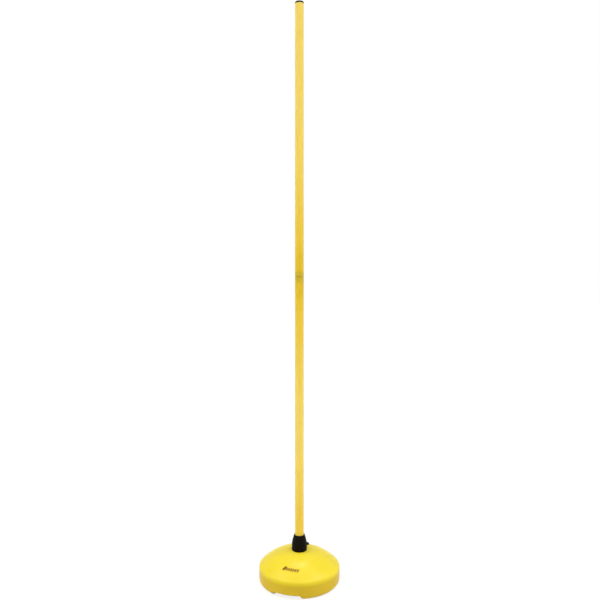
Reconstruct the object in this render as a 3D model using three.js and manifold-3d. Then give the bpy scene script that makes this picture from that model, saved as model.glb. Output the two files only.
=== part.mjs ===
import * as THREE from 'three';
import { mergeVertices } from 'three/addons/utils/BufferGeometryUtils.js';
import Module from 'manifold-3d';

// Slalom pole: a two-part tube that stands in a clamping collar on a hollow base with three feet.
// Millimetres, +Z up, origin on the floor under the pole, the base's front towards -Y.

// Driving dimensions of the pole
const poleRadius = 12.7;
const poleWall = 1.8;
const tubeLength = 793.5;
const capHeight = 5;
const capEdgeRound = 1.6;
const endFlangeHeight = 3;
const insertLength = 45;
const insertWall = 2;
const stopperLength = 20;
const stopperWall = 2;
const washerThickness = 0.8;

// Driving dimensions of the base
const baseRadius = 116.5;
const domeHeight = 92.7;
const crownRadius = 75;
const crownPower = 2.8;
const sideHeight = 42.2;
const shoulderRound = 9;
const bottomRound = 13;
const gapHeight = 9;
const recessStep = 1;
const footInnerRadius = 84;
const footInnerRound = 5;
const footRampLength = 9;
const shellWall = 2.5;
const footCount = 3;
const gapHalfAngle = THREE.MathUtils.degToRad(20.7);

// Driving dimensions of the neck, the socket's cap over it and the socket's tube
const neckWall = 2.5;
const neckBead = 0.8;
const neckBeadHeight = 2;
const socketWall = 2;
const socketDepth = 26;
const socketFloor = 2.5;
const capSkirtHeight = 20.5;
const capSkirtWall = 3.1;
const capSkirtDraft = 0.2;
const capLipHeight = 6.5;
const webThickness = 4;
const sealThickness = 2.2;

// Driving dimensions of the clamp
const stubHeight = 10;
const stubWall = 2.4;
const nutHeight = 23.5;
const nutRimWall = 2.4;
const nutRimHeight = 4.5;
const nutEdgeRound = 0.8;
const nutLeadIn = 1;
const colletTopWall = 0.9;
const colletSlot = 2.4;
const colletBead = 0.5;
const colletBeadHeight = 1.6;

// Driving dimensions of the filler
const fillerDistance = 46;
const fillerBore = 11;
const plugHeadOverhang = 3.2;
const plugHeadHeight = 4.2;
const plugEdgeRound = 1.4;
const plugShankLength = 9;
const plugShankWall = 1.8;
const plugGripHeight = 1.2;
const plugGripThickness = 3;
const plugDish = 1.4;
const plugRimWidth = 2.4;
const fillerSealThickness = 1;
const fillerSealWidth = 1.4;

// Threads and clearances
const seatGap = 0.3;
const clampPitch = 3;
const jointPitch = 4;
const jointTurns = 3.5;
const threadDepth = 1;
const joinOverlap = 0.3;
const threadRootShare = 0.45;
const threadCrestShare = 0.25;
const cutOverrun = 5;

// Facets
const roundSides = 32;
const threadSides = 20;
const threadFadeShare = 0.25;
const threadTipShare = 0.2;
const smallArcSteps = 2;
const outsideFacets = { arcSteps: 4, domeSteps: 4, crownSteps: 6, rampSteps: 4, columnStep: THREE.MathUtils.degToRad(7.5) };
const cavityFacets = { arcSteps: 2, domeSteps: 2, crownSteps: 4, rampSteps: 2, columnStep: THREE.MathUtils.degToRad(15) };
const columnMarginShare = 0.25;
const rampInsetShare = 0.5;
const quarterTurn = Math.PI / 2;
const fullTurn = Math.PI * 2;

// Radii that fit on each other, from the pole outwards
const tubeBore = poleRadius - poleWall;
const insertRadius = tubeBore - seatGap;
const insertBore = insertRadius - insertWall;
const socketBore = poleRadius + seatGap;
const socketRadius = socketBore + socketWall;
const neckBore = socketRadius + seatGap;
const neckRadius = neckBore + neckWall;
const beadRadius = neckRadius + neckBead;
const capBore = beadRadius + seatGap;
const capRadius = capBore + capSkirtWall;
const capTopRadius = capRadius - capSkirtDraft;
const stubRadius = socketBore + stubWall;
const nutBore = stubRadius + threadDepth + seatGap;
const nutTopRadius = socketBore + nutRimWall;
const coneBottomRadius = stubRadius + seatGap;
const coneTopRadius = socketBore + colletTopWall + seatGap;

// The dome is part of a sphere that runs into the upright side by the shoulder's round
const domeRise = domeHeight - sideHeight;
const domeRadius =
  ((baseRadius - shoulderRound) ** 2 + domeRise ** 2 - shoulderRound ** 2) / (2 * (domeRise - shoulderRound));
const domeCentre = domeHeight - domeRadius;

// The crown in the dome's middle is flatter than that sphere: its slope is the sphere's at its
// edge, and falls inwards with a power of the radius
const crownEdgeCosine = Math.sqrt(1 - (crownRadius / domeRadius) ** 2);
const crownEdgeHeight = domeCentre + domeRadius * crownEdgeCosine;
const crownEdgeSlope = crownRadius / (domeRadius * crownEdgeCosine);
const crownRise = (crownEdgeSlope * crownRadius) / crownPower;
const crownSlopeAt = (radius) => crownEdgeSlope * (radius / crownRadius) ** (crownPower - 1);
const crownAt = (radius) => crownEdgeHeight + crownRise * (1 - (radius / crownRadius) ** crownPower);

// Heights that stack on each other, from the floor and from the dome upwards
const recessHeight = gapHeight + footInnerRound + recessStep;
const capBottom = crownAt(neckRadius) + seatGap;
const webTop = capBottom + capSkirtHeight;
const webBottom = webTop - webThickness;
const neckTop = webBottom - sealThickness - 2 * seatGap;
const stubTop = webTop + stubHeight;
const nutBottom = webTop + seatGap;
const nutTop = nutBottom + nutHeight;
const rimBottom = nutTop - nutRimHeight;
const colletBottom = stubTop + seatGap;
const colletTop = rimBottom - seatGap;
const nutShoulder = colletBottom + seatGap;
const coneBottom = nutShoulder + nutBore - coneBottomRadius;
const poleSeat = webTop - socketDepth;
const lowerTubeBottom = poleSeat + seatGap + endFlangeHeight + seatGap;
const lowerTubeTop = lowerTubeBottom + tubeLength;
const washerBottom = lowerTubeTop + seatGap;
const upperTubeBottom = washerBottom + washerThickness + seatGap;
const upperTubeTop = upperTubeBottom + tubeLength;

const materials = {
  baseYellow: new THREE.MeshStandardMaterial({ color: 0xf6dc3c, roughness: 0.42, metalness: 0 }),
  tubeYellow: new THREE.MeshStandardMaterial({ color: 0xecc848, roughness: 0.35, metalness: 0 }),
  collarBlack: new THREE.MeshStandardMaterial({ color: 0x17171a, roughness: 0.45, metalness: 0 }),
  insertGrey: new THREE.MeshStandardMaterial({ color: 0x55544a, roughness: 0.55, metalness: 0 }),
  sealRubber: new THREE.MeshStandardMaterial({ color: 0x1f1f1f, roughness: 0.85, metalness: 0 }),
};

const wasm = await Module();
wasm.setup();

// A closed geometry as a solid that can be joined and cut
function solidOf(geometry) {
  const bare = geometry.clone();
  bare.deleteAttribute('normal');
  bare.deleteAttribute('uv');
  const merged = mergeVertices(bare);
  const vertProperties = new Float32Array(merged.attributes.position.array);
  const triVerts = new Uint32Array(merged.index.array);
  return new wasm.Manifold(new wasm.Mesh({ numProp: 3, vertProperties, triVerts }));
}

// The geometry of a solid
function geometryOf(solid) {
  const { vertProperties, triVerts, numProp } = solid.getMesh();
  const positions = new Float32Array((vertProperties.length / numProp) * 3);
  for (let i = 0; i < positions.length / 3; i += 1) {
    positions.set(vertProperties.slice(i * numProp, i * numProp + 3), i * 3);
  }
  const geometry = new THREE.BufferGeometry();
  geometry.setAttribute('position', new THREE.BufferAttribute(positions, 3));
  geometry.setIndex(new THREE.BufferAttribute(new Uint32Array(triVerts), 1));
  return geometry;
}

// Points of an arc about (radius, height), from one angle to another
function arc(radius, height, round, from, to, steps = outsideFacets.arcSteps) {
  return Array.from({ length: steps + 1 }, (_, i) => {
    const angle = from + ((to - from) * i) / steps;
    return [radius + round * Math.cos(angle), height + round * Math.sin(angle)];
  });
}

// Turns an outline of [radius, height] pairs round the Z axis, with its outer side going up.
// An outline that does not start and end on the axis is closed into a ring.
function turned(outline, sides = roundSides) {
  const points = outline.map(([radius, height]) => new THREE.Vector2(radius, height));
  const onAxis = points[0].x === 0 && points.at(-1).x === 0;
  if (!onAxis) points.push(points[0].clone());
  return new THREE.LatheGeometry(points, sides).rotateX(quarterTurn);
}

function cylinder(radius, bottom, top) {
  return turned([[0, bottom], [radius, bottom], [radius, top], [0, top]]);
}

// A thread's ridge on a core of the given radius, outwards for a bolt and inwards for a nut.
// Its lower edge starts at the given height, and it climbs by the pitch and fades at both ends.
function threadRidge({ core, inwards, pitch, bottom, turns }) {
  const side = inwards ? -1 : 1;
  const steps = Math.round(turns * threadSides);
  const fadeSteps = threadFadeShare * threadSides;
  const rootHalf = (pitch * threadRootShare) / 2;
  const crestHalf = (pitch * threadCrestShare) / 2;
  const root = core - side * joinOverlap;
  const positions = [];
  for (let i = 0; i <= steps; i += 1) {
    const angle = (fullTurn * i) / threadSides;
    const height = bottom + rootHalf + (pitch * i) / threadSides;
    const rise = Math.min(1, threadTipShare + i / fadeSteps, threadTipShare + (steps - i) / fadeSteps);
    const crest = root + side * (threadDepth + joinOverlap) * rise;
    const section = [[root, -rootHalf], [crest, -crestHalf], [crest, crestHalf], [root, rootHalf]];
    for (const [radius, offset] of inwards ? section.reverse() : section) {
      positions.push(radius * Math.cos(angle), radius * Math.sin(angle), height + offset);
    }
  }
  const corners = 4;
  const index = [];
  for (let i = 0; i < steps; i += 1) {
    for (let j = 0; j < corners; j += 1) {
      const a = i * corners + j;
      const b = i * corners + ((j + 1) % corners);
      index.push(a, a + corners, b, b, a + corners, b + corners);
    }
  }
  const last = steps * corners;
  index.push(0, 1, 2, 0, 2, 3, last, last + 2, last + 1, last, last + 3, last + 2);
  const geometry = new THREE.BufferGeometry();
  geometry.setAttribute('position', new THREE.Float32BufferAttribute(positions, 3));
  geometry.setIndex(index);
  return geometry;
}

// The angles of the base's columns of points: regular ones, and close ones on each foot's ramps
function columnAngles(rampCentre, rampHalf, { rampSteps, columnStep }) {
  const halfPitch = Math.PI / footCount;
  const ramp = Array.from({ length: rampSteps + 1 }, (_, i) => {
    return rampCentre - rampHalf + (2 * rampHalf * i) / rampSteps;
  });
  const margin = columnStep * columnMarginShare;
  const regular = [];
  for (let angle = 0; angle <= halfPitch + margin; angle += columnStep) {
    if (Math.abs(angle - rampCentre) > rampHalf + margin) regular.push(angle);
  }
  const half = [...regular, ...ramp].sort((a, b) => a - b);
  const mirrored = half.slice(1, -1).reverse().map((angle) => 2 * halfPitch - angle);
  const third = [...half, ...mirrored];
  const turns = Array.from({ length: footCount }, (_, k) => 2 * halfPitch * k);
  return turns.flatMap((turn) => third.map((angle) => angle + turn));
}

// How far a point on the base's underside is lifted off the floor at an angle from the front gap
function gapLift(angle, rampCentre, rampHalf) {
  const pitch = fullTurn / footCount;
  const fromGap = Math.abs(angle - pitch * Math.round(angle / pitch));
  const share = THREE.MathUtils.clamp((fromGap - rampCentre + rampHalf) / (2 * rampHalf), 0, 1);
  return gapHeight * (1 - THREE.MathUtils.smoothstep(share, 0, 1));
}

// The crown's outline from inside its edge to the neck, an inset inside its surface
function crownOutline(inset, steps) {
  return Array.from({ length: steps }, (_, i) => {
    const radius = crownRadius + ((neckRadius - crownRadius) * (i + 1)) / steps;
    const slope = crownSlopeAt(radius);
    const down = inset / Math.hypot(1, slope);
    return [radius - slope * down, crownAt(radius) - down];
  });
}

// The base's outline from its underside to its top, as [radius, height, whether a gap lifts it].
// With an inset it is the cavity's outline, a wall's thickness inside.
function baseOutline(inset, { arcSteps, domeSteps, crownSteps }) {
  const side = baseRadius - inset;
  const dome = domeRadius - inset;
  const shoulder = shoulderRound - inset;
  const bottom = bottomRound - inset;
  const inner = footInnerRound - inset;
  const innerRadius = footInnerRadius + inset;
  const foot = [
    ...arc(innerRadius + inner, inner + inset, inner, Math.PI, 3 * quarterTurn, arcSteps),
    ...arc(side - bottom, bottom + inset, bottom, 3 * quarterTurn, 4 * quarterTurn, arcSteps),
  ].map(([radius, height]) => [radius, height, true]);
  const shoulderTilt = Math.acos((baseRadius - shoulderRound) / (domeRadius - shoulderRound));
  const crownTilt = Math.acos(crownRadius / domeRadius);
  const upper = [
    ...arc(baseRadius - shoulderRound, sideHeight, shoulder, 0, shoulderTilt, arcSteps),
    ...arc(0, domeCentre, dome, shoulderTilt, crownTilt, domeSteps).slice(1),
    ...crownOutline(inset, crownSteps),
  ].map(([radius, height]) => [radius, height, false]);
  return [[innerRadius, recessHeight + inset, false], ...foot, ...upper];
}

// The neck's outside, with the bead that holds the socket's cap
function neckOutline() {
  const beadTop = neckTop - neckBeadHeight;
  const beadBottom = beadTop - neckBeadHeight;
  return [
    [neckRadius, beadBottom - neckBead, false],
    [beadRadius, beadBottom, false],
    [beadRadius, beadTop, false],
    [neckRadius, beadTop + neckBead, false],
    [neckRadius, neckTop, false],
  ];
}

// Turns the base's outline round, lifting the gaps between the feet
function baseSurface(inset, facets) {
  const rampHalf = footRampLength / 2 / (baseRadius - bottomRound);
  const rampCentre = gapHalfAngle + (inset * rampInsetShare) / footInnerRadius;
  const angles = columnAngles(rampCentre, rampHalf, facets);
  const outline = baseOutline(inset, facets);
  const rings = inset > 0 ? outline : [...outline, ...neckOutline()];
  const positions = [0, 0, recessHeight + inset];
  for (const [radius, height, lifts] of rings) {
    for (const angle of angles) {
      const lift = lifts ? gapLift(angle, rampCentre, rampHalf) : 0;
      positions.push(radius * Math.sin(angle), -radius * Math.cos(angle), height + lift);
    }
  }
  positions.push(0, 0, inset > 0 ? crownAt(0) - inset : neckTop);
  const count = angles.length;
  const top = 1 + rings.length * count;
  const index = [];
  for (let j = 0; j < count; j += 1) {
    const next = (j + 1) % count;
    index.push(0, 1 + next, 1 + j);
    for (let i = 0; i < rings.length - 1; i += 1) {
      const a = 1 + i * count;
      const b = a + count;
      index.push(a + j, a + next, b + j, a + next, b + next, b + j);
    }
    index.push(top - count + j, top - count + next, top);
  }
  const geometry = new THREE.BufferGeometry();
  geometry.setAttribute('position', new THREE.Float32BufferAttribute(positions, 3));
  geometry.setIndex(index);
  return geometry;
}

// Where the filler sits on the dome: its middle and its tilt away from the pole
const fillerTilt = Math.atan(crownSlopeAt(fillerDistance));
function placeFiller(object) {
  object.position.set(0, fillerDistance, crownAt(fillerDistance));
  object.rotation.x = -fillerTilt;
  object.updateMatrix();
  return object;
}

function baseShell() {
  const fillerCut = cylinder(fillerBore, -shellWall - cutOverrun, cutOverrun);
  fillerCut.applyMatrix4(placeFiller(new THREE.Object3D()).matrix);
  const neckCut = cylinder(neckBore, crownAt(0) - shellWall - cutOverrun, neckTop + cutOverrun);
  return geometryOf(
    solidOf(baseSurface(0, outsideFacets))
      .subtract(solidOf(baseSurface(shellWall, cavityFacets)))
      .subtract(solidOf(neckCut))
      .subtract(solidOf(fillerCut)),
  );
}

function neckSeal() {
  const bottom = neckTop + seatGap;
  const inner = socketRadius + seatGap;
  const top = bottom + sealThickness;
  return turned([[inner, bottom], [neckRadius, bottom], [neckRadius, top], [inner, top]]);
}

// Turns of the clamp's thread, which takes up the stub's height
const clampTurns = (stubHeight - 2 * seatGap) / clampPitch - threadRootShare;

// The cap over the neck, the closed socket tube inside it and the threaded stub on top
function poleSocket() {
  const lipBore = neckRadius + seatGap;
  const body = turned([
    [0, poleSeat - socketFloor],
    [socketRadius, poleSeat - socketFloor],
    [socketRadius, webBottom],
    [capBore, webBottom],
    [capBore, capBottom + capLipHeight + neckBead],
    [lipBore, capBottom + capLipHeight],
    [lipBore, capBottom],
    [capRadius, capBottom],
    [capTopRadius, webTop],
    [stubRadius, webTop],
    [stubRadius, stubTop],
    [socketBore, stubTop],
    [socketBore, poleSeat],
    [0, poleSeat],
  ]);
  const ridge = threadRidge({
    core: stubRadius,
    pitch: clampPitch,
    bottom: webTop + seatGap,
    turns: clampTurns,
  });
  return geometryOf(solidOf(body).add(solidOf(ridge)));
}

// The cone that turns down on the stub, with a groove that holds the collet's bead
function clampNut() {
  const grooveRadius = coneTopRadius + colletBead;
  const grooveBottom = colletTop - colletBeadHeight - seatGap;
  const body = turned([
    [nutBore, nutBottom],
    [capTopRadius, nutBottom],
    ...arc(nutTopRadius - nutEdgeRound, nutTop - nutEdgeRound, nutEdgeRound, 0, quarterTurn, smallArcSteps),
    [socketBore + nutLeadIn, nutTop],
    [socketBore, nutTop - nutLeadIn],
    [socketBore, rimBottom],
    [grooveRadius, rimBottom],
    [grooveRadius, grooveBottom],
    [coneTopRadius, grooveBottom],
    [coneBottomRadius, coneBottom],
    [nutBore, nutShoulder],
  ]);
  const ridge = threadRidge({
    core: nutBore,
    inwards: true,
    pitch: clampPitch,
    bottom: webTop + seatGap + clampPitch / 2,
    turns: clampTurns - 1,
  });
  return geometryOf(solidOf(body).add(solidOf(ridge)));
}

// The split sleeve between the nut's cone and the pole, a gap further in than the nut
function clampCollet() {
  const footRadius = coneBottomRadius - seatGap;
  const topRadius = coneTopRadius - seatGap;
  const beadOutside = topRadius + colletBead;
  const beadBottom = colletTop - colletBeadHeight;
  const sleeve = turned([
    [socketBore, colletBottom],
    [footRadius, colletBottom],
    [footRadius, coneBottom],
    [topRadius, beadBottom - seatGap],
    [topRadius, beadBottom],
    [beadOutside, beadBottom],
    [beadOutside, colletTop - colletBead],
    [topRadius, colletTop],
    [socketBore, colletTop],
  ]);
  const slotLength = coneBottomRadius + cutOverrun;
  const slot = new THREE.BoxGeometry(colletSlot, slotLength, colletTop - colletBottom + 2 * cutOverrun);
  slot.translate(0, slotLength / 2, (colletBottom + colletTop) / 2);
  return geometryOf(solidOf(sleeve).subtract(solidOf(slot)));
}

// The filler's plug, along its own axis with its head's seat on the dome at height 0
const plugSeat = seatGap;
const plugHeadRadius = fillerBore + plugHeadOverhang;
const plugHeadTop = plugSeat + plugHeadHeight;
const plugShankRadius = fillerBore - seatGap;
const sealPocketDepth = fillerSealThickness + seatGap;

function fillerPlug() {
  const shankBottom = plugSeat - plugShankLength;
  const shankBore = plugShankRadius - plugShankWall;
  const dishRadius = plugHeadRadius - plugRimWidth;
  const dishFloor = plugHeadTop - plugDish;
  const pocketRadius = plugShankRadius + fillerSealWidth + 2 * seatGap;
  const head = turned([
    [0, plugSeat],
    [shankBore, plugSeat],
    [shankBore, shankBottom],
    [plugShankRadius - plugShankWall / 2, shankBottom],
    [plugShankRadius, shankBottom + plugShankWall],
    [plugShankRadius, plugSeat + sealPocketDepth],
    [pocketRadius, plugSeat + sealPocketDepth],
    [pocketRadius, plugSeat],
    [plugHeadRadius, plugSeat],
    ...arc(plugHeadRadius - plugEdgeRound, plugHeadTop - plugEdgeRound, plugEdgeRound, 0, quarterTurn),
    [dishRadius, plugHeadTop],
    [dishRadius - plugDish / 2, dishFloor],
    [0, dishFloor],
  ]);
  const grip = new THREE.BoxGeometry(2 * dishRadius, plugGripThickness, plugGripHeight + joinOverlap);
  grip.translate(0, 0, dishFloor + (plugGripHeight - joinOverlap) / 2);
  return geometryOf(solidOf(head).add(solidOf(grip)));
}

function fillerSeal() {
  const inner = plugShankRadius + seatGap;
  const outer = inner + fillerSealWidth;
  const top = plugSeat + fillerSealThickness;
  return turned([[inner, plugSeat], [outer, plugSeat], [outer, top], [inner, top]]);
}

function tube(bottom) {
  const top = bottom + tubeLength;
  return turned([[tubeBore, bottom], [poleRadius, bottom], [poleRadius, top], [tubeBore, top]]);
}

// A cup-shaped stopper in a tube's end: its flange outside the tube, its open sleeve inside
function stopper(flangeOutline, tubeEnd, direction) {
  const sleeveEnd = tubeEnd - direction * stopperLength;
  const sleeveBore = insertRadius - stopperWall;
  const floor = tubeEnd - direction * stopperWall;
  const outline = [
    ...flangeOutline,
    [insertRadius, tubeEnd + direction * seatGap],
    [insertRadius, sleeveEnd],
    [sleeveBore, sleeveEnd],
    [sleeveBore, floor],
    [0, floor],
  ];
  return turned(direction > 0 ? outline.reverse() : outline);
}

function lowerEndPlug() {
  const bottom = poleSeat + seatGap;
  const top = bottom + endFlangeHeight;
  return stopper([[0, bottom], [poleRadius, bottom], [poleRadius, top]], lowerTubeBottom, -1);
}

function topCap() {
  const bottom = upperTubeTop + seatGap;
  const top = bottom + capHeight;
  const edge = arc(poleRadius - capEdgeRound, top - capEdgeRound, capEdgeRound, quarterTurn, 0);
  return stopper([[0, top], ...edge, [poleRadius, bottom]], upperTubeTop, 1);
}

// Radii of the pole's screwed joint
const jointCrest = insertBore - seatGap;
const jointCore = jointCrest - threadDepth;
const jointThreadLength = (jointTurns + threadRootShare) * jointPitch;
const jointStubBottom = upperTubeBottom - washerThickness - 2 * seatGap - jointThreadLength;

function lowerJointInsert() {
  const bottom = lowerTubeTop - insertLength;
  const sleeve = turned([
    [insertBore, bottom],
    [insertRadius, bottom],
    [insertRadius, lowerTubeTop],
    [insertBore, lowerTubeTop],
  ]);
  const ridge = threadRidge({
    core: insertBore,
    inwards: true,
    pitch: jointPitch,
    bottom: jointStubBottom + jointPitch / 2,
    turns: jointTurns - 1,
  });
  return geometryOf(solidOf(sleeve).add(solidOf(ridge)));
}

function upperJointPlug() {
  const top = upperTubeBottom + insertLength;
  const floor = upperTubeBottom + insertWall;
  const body = turned([
    [0, jointStubBottom],
    [jointCore, jointStubBottom],
    [jointCore, upperTubeBottom],
    [insertRadius, upperTubeBottom],
    [insertRadius, top],
    [insertBore, top],
    [insertBore, floor],
    [0, floor],
  ]);
  const ridge = threadRidge({
    core: jointCore,
    pitch: jointPitch,
    bottom: jointStubBottom,
    turns: jointTurns,
  });
  return geometryOf(solidOf(body).add(solidOf(ridge)));
}

function jointWasher() {
  const top = washerBottom + washerThickness;
  return turned([
    [insertBore, washerBottom],
    [poleRadius, washerBottom],
    [poleRadius, top],
    [insertBore, top],
  ]);
}

function named(name, geometry, material) {
  const mesh = new THREE.Mesh(geometry, material);
  mesh.name = name;
  return mesh;
}

const group = new THREE.Group();
group.add(
  named('base_shell', baseShell(), materials.baseYellow),
  named('neck_seal', neckSeal(), materials.sealRubber),
  named('pole_socket', poleSocket(), materials.collarBlack),
  named('clamp_collet', clampCollet(), materials.collarBlack),
  named('clamp_nut', clampNut(), materials.collarBlack),
  placeFiller(named('filler_plug', fillerPlug(), materials.collarBlack)),
  placeFiller(named('filler_seal', fillerSeal(), materials.sealRubber)),
  named('lower_tube', tube(lowerTubeBottom), materials.tubeYellow),
  named('lower_end_plug', lowerEndPlug(), materials.collarBlack),
  named('lower_joint_insert', lowerJointInsert(), materials.insertGrey),
  named('joint_washer', jointWasher(), materials.sealRubber),
  named('upper_joint_plug', upperJointPlug(), materials.insertGrey),
  named('upper_tube', tube(upperTubeBottom), materials.tubeYellow),
  named('top_cap', topCap(), materials.collarBlack),
);

export default group;
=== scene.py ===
import math

import bmesh
import bpy
from mathutils import Euler, Matrix, Vector


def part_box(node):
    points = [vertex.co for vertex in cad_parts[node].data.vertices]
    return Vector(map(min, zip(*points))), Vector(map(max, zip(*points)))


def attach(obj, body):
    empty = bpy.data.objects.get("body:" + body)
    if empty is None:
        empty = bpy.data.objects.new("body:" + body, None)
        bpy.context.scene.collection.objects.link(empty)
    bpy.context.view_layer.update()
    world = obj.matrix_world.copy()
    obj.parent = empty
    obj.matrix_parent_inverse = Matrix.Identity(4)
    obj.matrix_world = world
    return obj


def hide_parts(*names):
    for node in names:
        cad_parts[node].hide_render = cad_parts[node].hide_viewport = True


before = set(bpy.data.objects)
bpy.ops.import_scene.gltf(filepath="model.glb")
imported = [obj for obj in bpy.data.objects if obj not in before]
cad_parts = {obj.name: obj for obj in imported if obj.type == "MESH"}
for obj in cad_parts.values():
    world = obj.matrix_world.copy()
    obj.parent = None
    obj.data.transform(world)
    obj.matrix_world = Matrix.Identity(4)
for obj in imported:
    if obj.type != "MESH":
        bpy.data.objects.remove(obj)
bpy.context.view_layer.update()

# Slalom pole: a two-part yellow tube that stands in a clamping collar on a hollow base with feet.
# Sizes are in millimetres until a mesh is made; meshes, lights and the camera are in metres.
MM = 0.001

# Sizes of the pole
POLE_RADIUS = 12.7
POLE_WALL = 1.8
TUBE_BORE = POLE_RADIUS - POLE_WALL
TUBE_EDGE_ROUND = 0.35
SEAT_GAP = 0.3
INSERT_RADIUS = TUBE_BORE - SEAT_GAP
INSERT_WALL = 2
INSERT_BORE = INSERT_RADIUS - INSERT_WALL
END_PLUG_ROUND = 0.8
TOP_CAP_ROUND = 1.6
JOINT_PITCH = 4
JOINT_TURNS = 3.5

# Threads: the root and the crest are shares of the pitch, the sink one of the depth,
# the fade one of a turn and the tip one of the full section
THREAD_DEPTH = 1
THREAD_ROOT_SHARE = 0.45
THREAD_CREST_SHARE = 0.25
THREAD_SINK_SHARE = 0.3
THREAD_FADE_SHARE = 0.25
THREAD_TIP_SHARE = 0.2
THREAD_SIDES = 64

# Sizes of the base: its rounded lower edge meets the upright side at the height of the
# bottom's round over a foot, and at the gap's edge height over a gap
BASE_RADIUS = 116.5
DOME_HEIGHT = 92.7
CROWN_RADIUS = 75
CROWN_POWER = 2.8
SIDE_HEIGHT = 42.2
SHOULDER_ROUND = 9
BOTTOM_ROUND = 13
GAP_HEIGHT = 9
GAP_EDGE_HEIGHT = 14
GAP_EDGE_SHARE = (GAP_EDGE_HEIGHT - BOTTOM_ROUND) / GAP_HEIGHT
GAP_HALF_ANGLE = math.radians(20.7)
RECESS_HEIGHT = 15
FOOT_COUNT = 3
FOOT_INNER_RADIUS = 84
FOOT_INNER_ROUND = 5
FOOT_RAMP_LENGTH = 9
SOLE_MARGIN = 0.4
SIDE_MARGIN = 1.5
SHELL_WALL = 2.5
SHELL_COLUMNS = 480
SHELL_STEPS_OUTSIDE = 12
SHELL_STEPS_INSIDE = 6
DOME_RISE = DOME_HEIGHT - SIDE_HEIGHT
DOME_RADIUS = (
    (BASE_RADIUS - SHOULDER_ROUND) ** 2 + DOME_RISE ** 2 - SHOULDER_ROUND ** 2
) / (2 * (DOME_RISE - SHOULDER_ROUND))
DOME_CENTRE = DOME_HEIGHT - DOME_RADIUS
CROWN_EDGE_RISE = math.sqrt(DOME_RADIUS ** 2 - CROWN_RADIUS ** 2)
CROWN_EDGE_SLOPE = CROWN_RADIUS / CROWN_EDGE_RISE

# The strokes printed on the front of the dome: the ink is how far they stand out, and the
# body share how many times as thick they are, with the rest of it sunk in
MARK_STROKES = 7
MARK_LENGTH = 39
MARK_HEIGHT = 8.5
MARK_WIDTH = 4
MARK_SLANT = 0.45
MARK_FALL = 0.07
MARK_SHIFT = 4.2
MARK_FIRST_SCALE = 1.45
MARK_DISTANCE = 87
MARK_INK = 0.05
MARK_BODY_SHARE = 4
MARK_VERTICES = {"Vertices X": 5, "Vertices Y": 9, "Vertices Z": 2}

# Sizes of the neck and the collar
NECK_BORE = 15.3
NECK_RADIUS = 17.8
NECK_BEAD = 0.8
NECK_BEAD_HEIGHT = 2
SOCKET_BORE = 13
SOCKET_RADIUS = 15
SOCKET_FLOOR = 2.5
SOCKET_END_ROUND = 1
CAP_BORE = 18.9
CAP_RADIUS = 22
CAP_TOP_RADIUS = 21.8
CAP_LIP_HEIGHT = 6.5
WEB_THICKNESS = 4
CAP_HEIGHT = 20.5
STUB_RADIUS = 15.4
STUB_HEIGHT = 10
CLAMP_PITCH = 3
CLAMP_TURNS = 2.683
NUT_BORE = 16.7
NUT_TOP_RADIUS = 15.4
NUT_RIM_HEIGHT = 4.5
NUT_LEAD_IN = 1
NUT_MOUTH_ROUND = 0.1
CONE_BOTTOM_RADIUS = 15.7
CONE_TOP_RADIUS = 14.2
COLLET_BEAD = 0.5
COLLET_BEAD_HEIGHT = 1.6
COLLET_SLOT = 2.4
COLLET_SLOT_REACH = 30

# Ribs of the nut: the dip is a multiple of how far they stand out, the end share one of their length
RIB_COUNT = 28
RIB_START = 3
RIB_PAST_RIM = 1
RIB_ROD = 0.8
RIB_PROUD = 0.35
RIB_DIP = 1.4
RIB_END_SHARE = 0.14
RIB_STEPS = 24
RIB_SIDES = 12

# Sizes of the filler
FILLER_DISTANCE = 46
FILLER_BORE = 11
FILLER_CUT_REACH = 8
PLUG_HEAD_RADIUS = 14.2
PLUG_HEAD_HEIGHT = 4.2
PLUG_EDGE_ROUND = 1.4
PLUG_SHANK_RADIUS = 10.7
PLUG_SHANK_LENGTH = 9
PLUG_SHANK_WALL = 1.8
PLUG_DISH = 1.4
PLUG_RIM_WIDTH = 2.4
PLUG_GRIP = (23.6, 3, 1.5)
PLUG_GRIP_SINK = 0.3
SEAL_POCKET_RADIUS = 12.7
SEAL_POCKET_DEPTH = 1.3
SEAL_BORE = 11
SEAL_RADIUS = 12.4
SEAL_THICKNESS = 1

# Roundings of corners, and the shares of a side that a round and its margin may take
NICK_ROUND = 0.15
THIN_ROUND = 0.2
SLIGHT_ROUND = 0.25
FINE_ROUND = 0.3
SOFT_ROUND = 0.4
EDGE_ROUND = 0.5
BROAD_ROUND = 0.6
FOLD_ROUND = 0.8
ROUND_LIMIT = 0.45
MARGIN_LIMIT = 0.48

# How finely things are drawn, with the crease in degrees and the two distances in metres
PLAIN_SIDES = 96
FINE_SIDES = 128
HOLE_SIDES = 64
CREASE_ANGLE = 32
WELD_DISTANCE = 1e-7
SEAM_DISTANCE = 1e-6

# Measures


def heights(node):
    """The lowest and highest point of a node, in millimetres."""
    low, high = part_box(node)
    return low.z / MM, high.z / MM


def crown_slope_at(radius):
    """How steeply the flatter crown in the dome's middle falls at a distance from the axis."""
    return CROWN_EDGE_SLOPE * (radius / CROWN_RADIUS) ** (CROWN_POWER - 1)


def crown_at(radius):
    """The crown's height at a distance from the axis."""
    rise = CROWN_EDGE_SLOPE * CROWN_RADIUS / CROWN_POWER
    return DOME_CENTRE + CROWN_EDGE_RISE + rise * (1 - (radius / CROWN_RADIUS) ** CROWN_POWER)


# Outlines of turned pieces


def arc(radius, height, round_radius, start, end, steps):
    """Points of an arc about (radius, height), from one angle to another."""
    return [
        (
            radius + round_radius * math.cos(start + (end - start) * i / steps),
            height + round_radius * math.sin(start + (end - start) * i / steps),
        )
        for i in range(steps + 1)
    ]


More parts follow.
